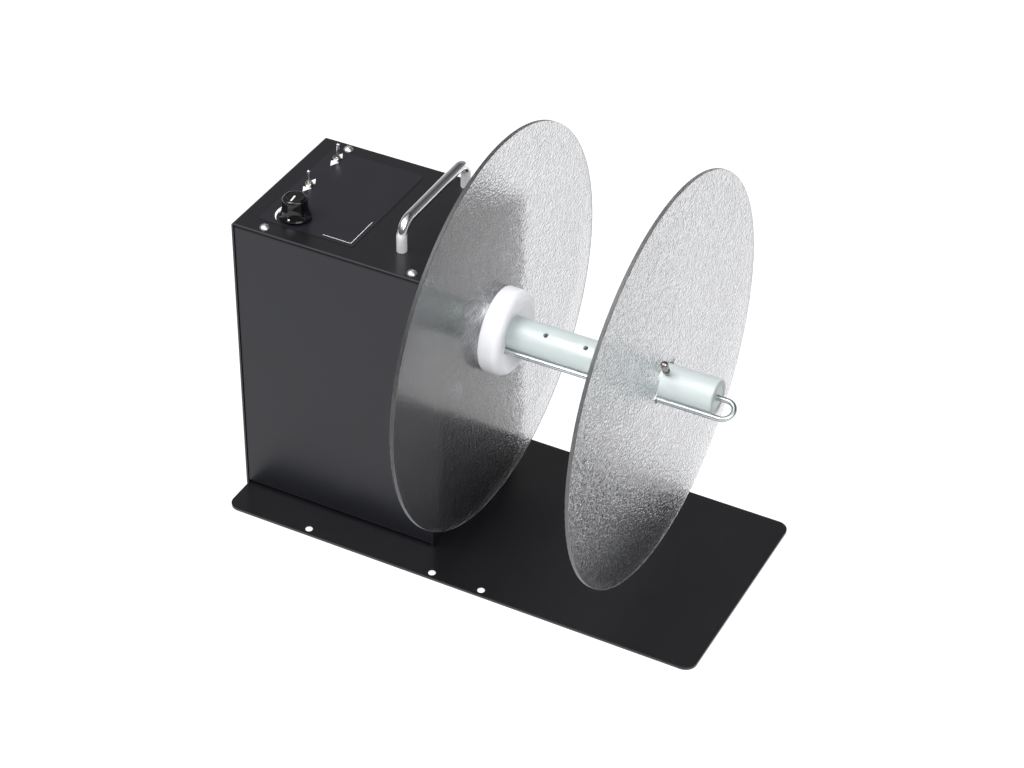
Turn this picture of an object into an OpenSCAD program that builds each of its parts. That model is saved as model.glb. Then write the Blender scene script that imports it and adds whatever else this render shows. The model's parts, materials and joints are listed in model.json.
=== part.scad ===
// Bench label rewinder with a geared motor, two clear discs and a coreless spindle.
// Millimetres. +X runs along the spindle away from the cabinet, +Y to the back, +Z up.
// The origin is on the table, under the spindle, halfway along the base.

/* [Base plate] */
// Length of the base along the spindle, with the cover's left wall beside the plate's end
base_l = 384; // [340:1:440]
// Depth of the base plate, front to back
base_d = 179; // [150:1:230]
// Thickness of the base plate
base_t = 2; // [1.5:0.5:4]
// How far the plate's middle lies behind the spindle (negative is in front)
base_y_shift = -3; // [-10:1:10]
// Corner radius of the base plate
base_corner_r = 9; // [3:0.5:15]
// Diameter of the holes along the plate's front edge
bench_hole_d = 5.5; // [4:0.5:8]
// Distance from the plate's front edge to the hole centres
bench_hole_inset = 5.2; // [4.5:0.1:9]
// Diameter of the rubber feet
foot_d = 18; // [12:1:26]
// Height of the rubber feet
foot_h = 4; // [3:0.5:10]
// Distance from the plate's edges to the feet
foot_inset = 20; // [16:1:30]

/* [Cabinet] */
// Width of the cabinet along the spindle
cab_w = 161; // [156:1:190]
// Depth of the cabinet
cab_d = 129; // [125:1:160]
// Height of the cabinet above the base plate
cab_h = 235.5; // [225:0.5:300]
// How far the cabinet's middle lies behind the spindle
cab_y_shift = 3; // [-6:1:6]
// Sheet thickness of the cover
cover_t = 1.5; // [1:0.1:2.5]
// Sheet thickness of the chassis
chassis_t = 1.5; // [1:0.1:2.5]
// Outside radius of the cover's bends
cover_bend_r = 2.2; // [1.6:0.1:5]
// Outside radius of the chassis bends
chassis_bend_r = 3.2; // [2.6:0.1:5]
// Depth of the chassis flanges under the cover
flange_l = 13; // [10:1:20]
// How far the front and back panels sit inside the cover's edges
panel_inset = 0.7; // [0.3:0.1:2]

/* [Handle] */
// Diameter of the handle bar
handle_bar_d = 7.6; // [6:0.1:12]
// Distance between the handle's feet
handle_span = 94; // [70:1:110]
// Height of the bar's centre line above the cover
handle_rise = 21.8; // [18:0.1:40]
// Radius of the handle's bends at the centre line
handle_bend_r = 11; // [7:1:16]

/* [Controls] */
// Diameter of the torque knob's skirt
knob_d = 23.4; // [18:0.2:30]
// Height of the torque knob
knob_h = 16; // [13:0.5:22]
// Distance across the corners of the knob's grip
knob_grip_d = 18.4; // [14.5:0.2:22]
// Diameter of the potentiometer shaft
pot_shaft_d = 6; // [4:0.5:6.5]
// Diameter of the toggle switch nuts
toggle_nut_d = 6; // [5.8:0.1:8]
// Height of the lever tips above the cover
toggle_h = 13; // [10:0.5:18]
// Tilt of a thrown toggle lever from upright, in degrees
toggle_throw = 13; // [8:1:14]
// Tilt of the mains rocker from level, in degrees
rocker_throw = 9; // [5:1:10]

/* [Spindle] */
// Height of the spindle above the base plate
axle_h = 166.5; // [158:0.5:180]
// Diameter of the steel shaft
shaft_d = 12; // [10:0.5:14]
// Outside diameter of the spindle tube
tube_d = 26.4; // [25:0.1:32]
// Inside diameter of the spindle tube
tube_bore_d = 18; // [17:0.5:20]
// Length of the spindle tube
tube_l = 167.5; // [160:0.5:220]
// Diameter of both discs
disc_d = 304.8; // [250:1:310]
// Thickness of both discs
disc_t = 3; // [2:0.5:5]
// Clear width for the roll between the collar and the outer disc
roll_w = 113; // [104:1:115]
// Diameter of the white collar
collar_d = 64; // [50:1:80]
// Thickness of the white collar
collar_t = 15.5; // [13:0.5:22]
// Radius of the collar's rounded outer edge
collar_round_r = 6; // [3:0.5:9]
// How far the collar's face is dished in towards the tube
collar_dish = 3.4; // [0:0.1:5]
// Diameter of the retaining wire
wire_d = 4; // [2.8:0.1:4.6]
// Angle of the wire's outer leg from straight up, turned to the front
wire_angle = 113; // [105:1:160]
// Angle of the first row of stop holes from straight up, turned to the front
row_angle = 27; // [10:1:40]
// Distance between stop holes
row_pitch = 31.3; // [24:0.1:36]
// Number of holes in the front row
row_count = 4; // [2:1:4]
// Diameter of the stop screws' heads
stop_head_d = 5.4; // [5:0.1:7]
// Height of the thumbscrew's knurled head
stop_head_h = 6.5; // [4:0.5:9]
// Height of the thumbscrew's head above the tube
stop_neck = 8.5; // [7:0.5:11]
// Height of the lock nut under the head
stop_nut_h = 3; // [2:0.5:4]

/* [Drive] */
// Diameter of the gearbox
gearbox_d = 60; // [50:1:66]
// Length of the gearbox
gearbox_l = 34; // [28:1:36]
// Diameter of the motor can
motor_d = 52; // [40:1:58]
// Air between the motor's end cap and the cabinet's left wall
motor_room = 7; // [3:0.5:23]
// Bearing bore, outside diameter and width
bearing_d = 28; // [26:1:32]
// Width of one bearing
bearing_w = 8; // [7:0.5:10]

/* [Hidden] */

// Smoothness of round shapes
$fn = 96;
// How far a cut runs past the face it goes through
over = 1;
// Clearance round a screw in its hole, and of a turning shaft in its bore
screw_clear = 0.05;
turn_clear = 0.05;
// Air between parts that move past each other
air = 0.3;

// Main levels and edges
left_x = -base_l / 2;
plate_top = foot_h + base_t;
cab_top = plate_top + cab_h;
cab_front = cab_y_shift - cab_d / 2;
cab_back = cab_y_shift + cab_d / 2;
axle_z = plate_top + axle_h;
wall_in = left_x + cab_w - cover_t;
wall_out = left_x + cab_w;
base_front = base_y_shift - base_d / 2;

// Distances of the bench holes from the base's left end
bench_hole_x1 = 70.3;
bench_hole_x2 = 174.3;
bench_hole_x3 = 214.8;
bench_holes = [bench_hole_x1, bench_hole_x2, bench_hole_x3];

// Air between the chassis and the cover's side walls
side_gap = 0.6;
// Air under the cover's right wall, and between its left wall and the plate's end
cover_lift = 0.3;
plate_left = left_x + cover_t + cover_lift;
plate_l = base_l / 2 - plate_left;

// Top screws: button heads, with the places that the screws have from the cabinet's edges
top_screw_d = 4;
top_head_d = 7.6;
top_head_h = 2.4;
top_screw_l = 7;
top_screw_edge = 6;
top_screw_left = 24;
top_screw_right = 18.5;

// Base screws come up through the plate into the chassis floor
base_screw_d = 4;
base_head_d = 7;
base_screw_inset_x = 24;
base_screw_inset_y = 22;
base_nut_af = 7;
base_nut_h = 3.2;

// Handle place, from the cabinet's right and front faces, and its screws
handle_right = 38;
handle_foot_in = 26.8;
handle_x = wall_out - handle_right;
handle_front = cab_front + handle_foot_in;
handle_screw_d = 4;
handle_screw_l = 10;
handle_washer_d = 8;
handle_notch_w = 9.6;
handle_head_h = 2.6;

// Overlay on the cover round the controls
label_t = 0.3;
label_w = 77;
label_l = 104;
label_left = 14;
label_front = 13.5;
label_corner_r = 2;

// Knob and potentiometer, with their place from the cabinet's left and front faces
knob_left = 36.7;
knob_front = 27;
knob_x = left_x + knob_left;
knob_y = cab_front + knob_front;
knob_lift = 1.5;
knob_skirt_h = 0.8;
knob_flare_h = 8;
knob_round_r = 1.4;
knob_pocket_d = 16;
knob_pocket_h = 3.6;
knob_roof = 3;
knob_flats = 8;
pot_d = 24;
pot_h = 10;
pot_bush_d = 9.4;
pot_bush_up = 3;
pot_nut_af = 12.6;
pot_nut_h = 2;
pot_lug_w = 2;
pot_lug_l = 6;
pot_lug_t = 0.6;
pot_lug_pitch = 5;

// Toggle switches, with their places from the cabinet's left and front faces
toggle_left = 23.8;
direction_front = 67.3;
torque_front = 106.3;
toggle_x = left_x + toggle_left;
direction_y = cab_front + direction_front;
torque_y = cab_front + torque_front;
toggle_nut_h = 2.2;
toggle_bush_d = 4.9;
toggle_bush_up = 2.8;
toggle_mouth_d = 4.2;
toggle_throat_d = 3.6;
toggle_body_w = 8;
toggle_body_l = 13;
toggle_body_h = 9;
toggle_lug_h = 4;
toggle_lug_w = 0.8;
toggle_lug_l = 2;
toggle_lug_pitch = 4.6;
toggle_ball_d = 3;
toggle_stem_d = 1.7;
toggle_tip_d = 2.5;
toggle_tail_l = 3;
toggle_tail_d = 1.5;
toggle_chamber_w = 3;
toggle_chamber_l = 5;
toggle_pivot_drop = 0.2;
toggle_pin_d = 1;
toggle_pin_l = 4.4;

// Mains inlet and rocker switch on the back panel
inlet_left = 46;
inlet_rise = 30;
inlet_x = left_x + inlet_left;
inlet_z = plate_top + inlet_rise;
inlet_w = 28;
inlet_h = 20;
inlet_flange_w = 50;
inlet_flange_h = 24;
inlet_flange_t = 2.5;
inlet_depth = 22;
inlet_socket_w = 24.4;
inlet_socket_h = 16.4;
inlet_socket_depth = 17;
inlet_corner_r = 4;
inlet_pin_w = 4;
inlet_pin_t = 2;
inlet_pin_recess = 1.5;
inlet_tail_l = 2;
inlet_pin_pitch = 7;
inlet_earth_rise = 2.5;
inlet_screw_pitch = 40;
inlet_screw_d = 3;
inlet_head_d = 5.6;
inlet_head_h = 1.8;
inlet_screw_l = 6;
rocker_gap = 18.5;
rocker_frame_w = 21;
rocker_x = inlet_x + inlet_flange_w / 2 + rocker_gap + rocker_frame_w / 2;
rocker_z = inlet_z;
rocker_frame_h = 15;
rocker_frame_t = 2;
rocker_body_w = 19;
rocker_body_h = 12.6;
rocker_body_depth = 18;
rocker_w = 16;
rocker_h = 9.6;
rocker_proud = 1.8;
rocker_well = 7;
rocker_pin_d = 2;

// Motor, gearbox and what carries them
gear_shaft_d = 10;
gear_flat = 1;
gear_nose_d = 22;
gear_nose_l = 3;
gear_screw_pcd = 46;
gear_screw_d = 4;
gear_head_d = 7;
gear_head_h = 4;
gear_screw_bite = 6;
motor_cap_l = 7;
motor_cap_d = 44;
motor_tab_w = 5;
motor_tab_t = 0.8;
motor_tab_l = 4;
motor_plate_t = 4;
motor_plate_s = 86;
motor_plate_r = 6;
standoff_af = 10;
standoff_at = 36;
standoff_l = 50;
standoff_screw_d = 5;
standoff_head_d = 9.5;
standoff_head_h = 2.75;
standoff_screw_l = 10;

// Bearing housing on the right wall
housing_d = 42;
housing_flange_d = 62;
housing_flange_t = 5;
housing_proud = 6.5;
housing_inner_l = 18;
housing_shoulder_d = 24;
housing_screw_pcd = 52;
housing_screw_d = 4;
housing_head_d = 7;
housing_head_h = 2.2;
housing_screw_l = 6;
housing_lip = 1;

// Ball bearings
inner_ring_d = 17;
outer_ring_bore_d = 23;
ball_d = 4.8;
ball_count = 8;
ball_pcd = (inner_ring_d + outer_ring_bore_d) / 2;
bearing_b_x = wall_out + housing_proud - housing_lip - bearing_w;
bearing_a_x = wall_in - housing_flange_t - housing_inner_l + housing_lip;

// Hub, disc and collar stack outside the housing
hub_gap = 1;
hub_boss_l = 6;
hub_boss_d = 30;
hub_flange_t = 4;
hub_flange_d = 60;
hub_screw_pcd = 46;
hub_screw_d = 4;
hub_head_d = 7;
hub_head_h = 2.2;
hub_screw_bite = 7;
hub_x = wall_out + housing_proud + hub_gap;
disc1_x = hub_x + hub_boss_l + hub_flange_t;
collar_x = disc1_x + disc_t;
roll_x = collar_x + collar_t;
disc2_x = roll_x + roll_w;

// Tube in the collar
tube_seat = 12;
tube_x = roll_x - tube_seat;
tube_end_x = tube_x + tube_l;
tube_chamfer = 0.8;
bush_l = 30;
cap_l = 10;
cap_recess = 0.3;
cap_hole_d = wire_d + 2 * air;
shaft_into_tube = 28;
shaft_end_x = tube_x + shaft_into_tube;

// Stop screws and their holes
stop_hole_d = 3.6;
stop_core_d = stop_hole_d - 2 * screw_clear;
stop_gap = 0.15;
stop_x = disc2_x + disc_t + stop_gap + stop_head_d / 2;
inner_stop_x = disc2_x - stop_gap - stop_head_d / 2;
inner_stop_head_h = 4;
inner_stop_neck = 1.2;
stop_knurls = 18;
stop_knurl_d = 0.7;
stop_slot_w = 1;
stop_slot_h = 1.2;
stop_nut_lift = 2.5;
stop_nut_edge = 0.8;
disc_slack = 1.3;

// Retaining wire
wire_seat_gap = 0.15;
wire_r = tube_d / 2 + wire_seat_gap + wire_d / 2;
wire_reach = 7;
wire_bite = 7;
wire_inner_gap = 12;
wire_loop_x = tube_end_x + wire_reach;
wire_outer_tip_x = roll_x - wire_bite;
wire_inner_tip_x = shaft_end_x + wire_inner_gap;
wire_tip_r = wire_d / 2;

// Coupling between gearbox and spindle
coupling_d = 26;
coupling_hub_l = 9;
coupling_jaw_l = 6;
coupling_jaws = 3;
coupling_jaw_deg = 38;
coupling_gap = 0.4;
coupling_web_d = 12.6;

// Drive line places, from the motor plate to the shaft's inner end
motor_plate_x = wall_in - standoff_l - motor_plate_t;
gearbox_x = motor_plate_x - gearbox_l;
motor_x = left_x + cover_t + motor_room + motor_cap_l;
motor_l = gearbox_x - motor_x;
coupling_room = 2;
coupling_x = motor_plate_x + motor_plate_t + coupling_room;
coupling_mid_x = coupling_x + coupling_hub_l;
coupling_far_x = coupling_mid_x + coupling_jaw_l;
gear_shaft_end_x = coupling_mid_x - coupling_gap;
shaft_start_x = coupling_far_x + coupling_gap;

// Board and transformer on the chassis floor
floor_top = plate_top + chassis_t;
trafo_left = 12;
trafo_l = 52;
trafo_x = left_x + trafo_left;
board_room = 4;
board_right = 7.5;
board_front = 12;
board_x = trafo_x + trafo_l + board_room;
board_y = cab_front + board_front;
board_l = wall_in - board_right - board_x;
board_w = 70;
board_t = 1.6;
board_lift = 8;
board_hole_inset = 5;
board_spacer_d = 6;
board_pin_d = 3;
board_clip_t = 1;
sink_l = board_l / 2 - 2 * board_hole_inset;
sink_w = 12;
sink_h = 25;
sink_fins = 6;
sink_fin_t = 1.2;
sink_base_t = 3;
can_d = 16;
can_h = 26;
terminal_l = 30;
terminal_w = 9;
terminal_h = 11;
terminal_ways = 6;
terminal_screw_d = 3.2;
trafo_forward = 17;
trafo_y = cab_y_shift - trafo_forward;
trafo_w = 28;
trafo_h = 44;
trafo_window_share = 0.24;
trafo_coil_w = 38;
trafo_coil_r = 4;

// A rectangle with round corners, centred, with true arcs
module round_rect(w, d, r) {
    square([w - 2 * r, d], center = true);
    square([w, d - 2 * r], center = true);
    for (sx = [-1, 1], sy = [-1, 1])
        translate([sx * (w / 2 - r), sy * (d / 2 - r)]) circle(r = r);
}

// A round bar along +X from the origin
module x_bar(d, l) {
    rotate([0, 90, 0]) cylinder(d = d, h = l);
}

// A profile of radius against length, turned round the X axis
module x_turn() {
    rotate([0, 90, 0]) rotate_extrude() children();
}

// Moves to the spindle's axis at a place along it
module on_axle(x) {
    translate([x, 0, axle_z]) children();
}

// Four copies round the cabinet's top screws, on the cover's top face
module at_top_screws() {
    for (x = [left_x + top_screw_left, wall_out - top_screw_right],
         y = [cab_front + top_screw_edge, cab_back - top_screw_edge])
        translate([x, y, cab_top]) children();
}

module at_base_screws() {
    for (x = [left_x + base_screw_inset_x, wall_out - base_screw_inset_x],
         y = [cab_front + base_screw_inset_y, cab_back - base_screw_inset_y])
        translate([x, y, foot_h]) children();
}

module at_handle_feet() {
    for (y = [handle_front, handle_front + handle_span])
        translate([handle_x, y, cab_top]) children();
}

// Copies on a circle round the spindle's axis
module on_circle(x, pcd, n, turn) {
    for (i = [0 : n - 1])
        on_axle(x) rotate([turn + i * 360 / n, 0, 0]) translate([0, 0, pcd / 2]) children();
}

module at_standoffs(x) {
    for (sy = [-1, 1], sz = [-1, 1])
        on_axle(x) translate([0, sy * standoff_at, sz * standoff_at]) children();
}

// Puts a child on the tube's surface, its +Z pointing straight out at an angle from up
module on_tube(x, angle) {
    on_axle(x) rotate([angle, 0, 0]) translate([0, 0, tube_d / 2]) children();
}

// A low domed head on its flat face, pointing up
module button_head(d, h, hex) {
    rise = h;
    ball_r = (d * d / 4 + rise * rise) / (2 * rise);
    difference() {
        intersection() {
            cylinder(d = d, h = h);
            translate([0, 0, h - ball_r]) sphere(r = ball_r);
        }
        translate([0, 0, h / 2]) cylinder(d = hex, h = h, $fn = 6);
    }
}

module hex_nut(af, h, bore) {
    difference() {
        cylinder(d = af / cos(30), h = h, $fn = 6);
        translate([0, 0, -over]) cylinder(d = bore, h = h + 2 * over);
    }
}

module base_plate() color([0.16, 0.16, 0.18]) {
    difference() {
        translate([plate_left + plate_l / 2, base_y_shift, foot_h]) linear_extrude(base_t)
            round_rect(plate_l, base_d, base_corner_r);
        for (x = bench_holes)
            translate([left_x + x, base_front + bench_hole_inset, foot_h - over])
                cylinder(d = bench_hole_d, h = base_t + 2 * over);
        at_base_screws() {
            translate([0, 0, -over]) cylinder(d = base_screw_d + 2 * screw_clear, h = base_t + 2 * over);
            translate([0, 0, -over]) cylinder(d = base_head_d + 2 * screw_clear, h = over + base_t / 2);
        }
    }
}

module rubber_feet() color([0.08, 0.08, 0.08]) {
    edge_r = foot_h / 4;
    for (sx = [-1, 1], sy = [-1, 1])
        translate([sx * (base_l / 2 - foot_inset), base_y_shift + sy * (base_d / 2 - foot_inset), 0])
            rotate_extrude() {
                translate([0, edge_r]) square([foot_d / 2, foot_h - edge_r]);
                square([foot_d / 2 - edge_r, foot_h]);
                translate([foot_d / 2 - edge_r, edge_r]) circle(r = edge_r, $fn = 32);
            }
}

module base_screws() color([0.7, 0.7, 0.72]) {
    at_base_screws() difference() {
        union() {
            cylinder(d = base_head_d, h = base_t / 2);
            cylinder(d = base_screw_d, h = base_t + chassis_t + base_nut_h + base_screw_d / 4);
        }
        translate([0, 0, -over]) cylinder(d = base_screw_d / 2, h = over + base_t / 3, $fn = 6);
    }
}

module base_nuts() color([0.72, 0.72, 0.74]) {
    at_base_screws() translate([0, 0, base_t + chassis_t])
        hex_nut(base_nut_af, base_nut_h, base_screw_d + 2 * screw_clear);
}

// Front panel, floor and back panel in one bent sheet, with flanges turned in at the top
module chassis() color([0.2, 0.2, 0.22]) {
    chassis_w = cab_w - 2 * (cover_t + side_gap);
    chassis_d = cab_d - 2 * panel_inset;
    chassis_h = cab_h - cover_t;
    mouth_w = chassis_d - 2 * flange_l;
    difference() {
        translate([left_x + cover_t + side_gap, cab_y_shift, plate_top + chassis_h / 2])
            rotate([90, 0, 90]) linear_extrude(chassis_w) difference() {
                round_rect(chassis_d, chassis_h, chassis_bend_r);
                round_rect(chassis_d - 2 * chassis_t, chassis_h - 2 * chassis_t, chassis_bend_r - chassis_t);
                translate([-mouth_w / 2, 0]) square([mouth_w, chassis_h]);
            }
        at_top_screws() translate([0, 0, -top_screw_l - over])
            cylinder(d = top_screw_d + 2 * screw_clear, h = top_screw_l + 2 * over);
        for (side = [0, 1])
            translate([handle_x, handle_front + side * handle_span, cab_top - cover_t - chassis_t - over])
                linear_extrude(chassis_t + 2 * over) {
                    circle(d = handle_notch_w);
                    translate([-handle_notch_w / 2, -side * flange_l]) square([handle_notch_w, flange_l]);
                }
        at_base_screws() cylinder(d = base_screw_d + 2 * screw_clear, h = base_t + chassis_t + over);
        translate([inlet_x, cab_back, inlet_z]) rotate([90, 0, 0])
            translate([0, 0, -over]) linear_extrude(panel_inset + chassis_t + 2 * over)
                round_rect(inlet_w, inlet_h, inlet_corner_r);
        for (side = [-1, 1])
            translate([inlet_x + side * inlet_screw_pitch / 2, cab_back + over, inlet_z])
                rotate([90, 0, 0])
                    cylinder(d = inlet_screw_d + 2 * screw_clear, h = panel_inset + chassis_t + 2 * over);
        translate([rocker_x - rocker_body_w / 2, cab_back - panel_inset - chassis_t - over,
                rocker_z - rocker_body_h / 2])
            cube([rocker_body_w, chassis_t + panel_inset + 2 * over, rocker_body_h]);
        at_board_holes() translate([0, 0, -chassis_t - over])
            cylinder(d = board_pin_d + 2 * screw_clear, h = chassis_t + 2 * over);
        }
}

// Top and both side walls in one bent sheet: it carries the controls, handle, bearing and motor.
// The right wall stands over the base plate, and the left one hangs down beside the plate's end.
module cover() color([0.19, 0.19, 0.2]) {
    wall_h = cab_h - cover_lift;
    tall_r = cover_bend_r;
    difference() {
        translate([left_x + cab_w / 2, cab_back, cab_top]) rotate([90, 0, 0]) linear_extrude(cab_d) {
            translate([-cab_w / 2, -cab_h - base_t]) square([cover_t, base_t + cab_h - tall_r]);
            difference() {
                union() {
                    translate([-cab_w / 2, -wall_h]) square([cab_w, wall_h - tall_r]);
                    translate([-cab_w / 2 + tall_r, -wall_h]) square([cab_w - 2 * tall_r, wall_h]);
                    for (side = [-1, 1])
                        translate([side * (cab_w / 2 - tall_r), -tall_r]) circle(r = tall_r);
                }
                translate([-cab_w / 2 + cover_t, -wall_h - over])
                    square([cab_w - 2 * cover_t, wall_h + over - tall_r]);
                translate([-cab_w / 2 + tall_r, -wall_h - over])
                    square([cab_w - 2 * tall_r, wall_h + over - cover_t]);
                for (side = [-1, 1])
                    translate([side * (cab_w / 2 - tall_r), -tall_r]) circle(r = tall_r - cover_t);
            }
        }
        at_top_screws() translate([0, 0, -cover_t - over])
            cylinder(d = top_screw_d + 2 * screw_clear, h = cover_t + 2 * over);
        at_handle_feet() translate([0, 0, -cover_t - over])
            cylinder(d = handle_screw_d + 2 * screw_clear, h = cover_t + 2 * over);
        translate([knob_x, knob_y, cab_top - cover_t - over])
            cylinder(d = pot_bush_d + 2 * screw_clear, h = cover_t + 2 * over);
        for (y = [direction_y, torque_y])
            translate([toggle_x, y, cab_top - cover_t - over])
                cylinder(d = toggle_bush_d + 2 * screw_clear, h = cover_t + 2 * over);
        on_axle(wall_in - over) x_bar(housing_d + 2 * screw_clear, cover_t + 2 * over);
        on_circle(wall_in - over, housing_screw_pcd, 4, 0)
            x_bar(housing_screw_d + 2 * screw_clear, cover_t + 2 * over);
        at_standoffs(wall_in - over) x_bar(standoff_screw_d + 2 * screw_clear, cover_t + 2 * over);
    }
}

module top_screws() color([0.8, 0.8, 0.82]) {
    at_top_screws() {
        button_head(top_head_d, top_head_h, top_screw_d * 0.6);
        translate([0, 0, -top_screw_l]) cylinder(d = top_screw_d, h = top_screw_l);
    }
}

module control_label() color([0.17, 0.17, 0.2]) {
    difference() {
        translate([left_x + label_left + label_w / 2, cab_front + label_front + label_l / 2, cab_top])
            linear_extrude(label_t) round_rect(label_w, label_l, label_corner_r);
        translate([knob_x, knob_y, cab_top - over])
            cylinder(d = pot_bush_d + 2 * screw_clear, h = label_t + 2 * over);
        for (y = [direction_y, torque_y])
            translate([toggle_x, y, cab_top - over])
                cylinder(d = toggle_bush_d + 2 * screw_clear, h = label_t + 2 * over);
    }
}

// Bow handle: two legs, two quarter bends and a straight bar of one round section
module handle() color([0.85, 0.85, 0.87]) {
    leg = handle_rise - handle_bend_r;
    bar = handle_span - 2 * handle_bend_r;
    difference() {
        union() {
            at_handle_feet() cylinder(d = handle_bar_d, h = leg);
            translate([handle_x, handle_front + handle_bend_r, cab_top + leg]) {
                rotate([90, 0, -90]) rotate_extrude(angle = 90)
                    translate([handle_bend_r, 0]) circle(d = handle_bar_d);
                translate([0, 0, handle_bend_r]) rotate([-90, 0, 0]) cylinder(d = handle_bar_d, h = bar);
                translate([0, bar, 0]) rotate([90, 0, 90]) rotate_extrude(angle = 90)
                    translate([handle_bend_r, 0]) circle(d = handle_bar_d);
            }
        }
        at_handle_feet() translate([0, 0, -over])
            cylinder(d = handle_screw_d + 2 * screw_clear, h = over + handle_screw_l - cover_t);
    }
}

module handle_screws() color([0.7, 0.7, 0.72]) {
    at_handle_feet() translate([0, 0, -cover_t]) {
        cylinder(d = handle_screw_d, h = handle_screw_l - screw_clear);
        rotate([180, 0, 0]) button_head(handle_washer_d, handle_head_h, handle_screw_d * 0.6);
    }
}

// Skirted knob: a bell-shaped skirt under a grip with eight flats, hollow over the nut
module torque_knob() color([0.05, 0.05, 0.06]) {
    grip_r = knob_grip_d / 2;
    skirt_r = knob_d / 2;
    shaft_depth = knob_h - knob_roof;
    translate([knob_x, knob_y, cab_top + label_t + knob_lift]) difference() {
        union() {
            intersection() {
                cylinder(d = knob_grip_d, h = knob_h, $fn = knob_flats);
                rotate_extrude() {
                    square([grip_r, knob_h - knob_round_r]);
                    square([grip_r * 0.94 - knob_round_r, knob_h]);
                    translate([grip_r * 0.94 - knob_round_r, knob_h - knob_round_r])
                        circle(r = knob_round_r, $fn = 48);
                }
            }
            rotate_extrude() difference() {
                square([skirt_r, knob_skirt_h + knob_flare_h]);
                translate([skirt_r, knob_skirt_h + knob_flare_h])
                    scale([(skirt_r - grip_r * 0.94) / knob_flare_h, 1]) circle(r = knob_flare_h, $fn = 64);
            }
        }
        translate([0, 0, -over]) cylinder(d = knob_pocket_d, h = over + knob_pocket_h);
        translate([0, 0, -over]) cylinder(d = pot_shaft_d + 2 * screw_clear, h = over + shaft_depth);
    }
}

// Turning shaft of the potentiometer, inside the knob and through the threaded bush
module pot_shaft() color([0.75, 0.75, 0.77]) {
    top = knob_lift + label_t + knob_h - knob_roof - screw_clear;
    depth = cover_t + pot_h / 2;
    translate([knob_x, knob_y, cab_top - depth]) cylinder(d = pot_shaft_d, h = depth + top);
}

module pot_body() color([0.45, 0.42, 0.36]) {
    translate([knob_x, knob_y, cab_top - cover_t]) difference() {
        union() {
            translate([0, 0, -pot_h]) cylinder(d = pot_d, h = pot_h);
            cylinder(d = pot_bush_d, h = cover_t + label_t + pot_bush_up);
            for (i = [-1, 0, 1])
                translate([i * pot_lug_pitch - pot_lug_w / 2, pot_d / 2 - pot_lug_w, -pot_h / 2])
                    cube([pot_lug_w, pot_lug_l, pot_lug_t]);
        }
        translate([0, 0, -pot_h / 2 - turn_clear])
            cylinder(d = pot_shaft_d + 2 * turn_clear, h = pot_h + cover_t + label_t + pot_bush_up);
    }
}

module pot_nut() color([0.8, 0.8, 0.82]) {
    translate([knob_x, knob_y, cab_top + label_t])
        hex_nut(pot_nut_af, pot_nut_h, pot_bush_d + 2 * screw_clear);
}

// Body and threaded bush of a small toggle switch, with a flared mouth for the lever
module toggle_switch(y) {
    bush_h = cover_t + label_t + toggle_bush_up;
    pivot = toggle_pivot_drop + cover_t;
    lug_z = -toggle_body_h - toggle_lug_h;
    translate([toggle_x, y, cab_top - cover_t]) difference() {
        union() {
            translate([-toggle_body_w / 2, -toggle_body_l / 2, -toggle_body_h])
                cube([toggle_body_w, toggle_body_l, toggle_body_h]);
            cylinder(d = toggle_bush_d, h = bush_h, $fn = 64);
            for (i = [-1, 0, 1])
                translate([-toggle_lug_l / 2, i * toggle_lug_pitch - toggle_lug_w / 2, lug_z])
                    cube([toggle_lug_l, toggle_lug_w, toggle_lug_h + toggle_body_h / 2]);
        }
        translate([0, 0, pivot])
            cylinder(d1 = toggle_throat_d, d2 = toggle_mouth_d, h = bush_h - pivot + screw_clear);
        translate([0, 0, -screw_clear]) cylinder(d = toggle_throat_d, h = pivot + 2 * screw_clear);
        translate([-toggle_bush_d / 2 - over, 0, pivot])
            x_bar(toggle_pin_d + 2 * turn_clear, toggle_bush_d + 2 * over);
        translate([-toggle_chamber_w / 2, -toggle_chamber_l / 2, -toggle_tail_l - air])
            cube([toggle_chamber_w, toggle_chamber_l, toggle_tail_l + air]);
    }
}

// Round dress nut on the switch's bush
module toggle_nut(y) {
    edge = toggle_nut_h / 5;
    translate([toggle_x, y, cab_top + label_t]) difference() {
        union() {
            cylinder(d = toggle_nut_d, h = toggle_nut_h - edge);
            cylinder(d = toggle_nut_d - 2 * edge, h = toggle_nut_h);
        }
        translate([0, 0, -over]) cylinder(d = toggle_bush_d + 2 * screw_clear, h = toggle_nut_h + 2 * over);
    }
}

// Lever on its cross pin: ball, stem, rounded tip and the tail that works the contacts
module toggle_lever(y, tilt) {
    tip_rise = toggle_h - toggle_tip_d / 2 - toggle_pivot_drop;
    translate([toggle_x, y, cab_top + toggle_pivot_drop]) rotate([-tilt, 0, 0]) {
        sphere(d = toggle_ball_d, $fn = 48);
        translate([-toggle_pin_l / 2, 0, 0]) x_bar(toggle_pin_d, toggle_pin_l);
        cylinder(d1 = toggle_stem_d, d2 = toggle_stem_d * 1.15, h = tip_rise, $fn = 48);
        translate([0, 0, tip_rise]) sphere(d = toggle_tip_d, $fn = 48);
        translate([0, 0, -toggle_pivot_drop - cover_t - toggle_tail_l / 2])
            cylinder(d = toggle_tail_d, h = toggle_tail_l / 2 + cover_t, $fn = 48);
    }
}

module direction_switch() color([0.15, 0.25, 0.5]) toggle_switch(direction_y);
module direction_nut() color([0.8, 0.8, 0.82]) toggle_nut(direction_y);
module direction_lever() color([0.85, 0.85, 0.87]) toggle_lever(direction_y, 0);
module torque_switch() color([0.15, 0.25, 0.5]) toggle_switch(torque_y);
module torque_switch_nut() color([0.8, 0.8, 0.82]) toggle_nut(torque_y);
module torque_lever() color([0.85, 0.85, 0.87]) toggle_lever(torque_y, toggle_throw);

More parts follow.
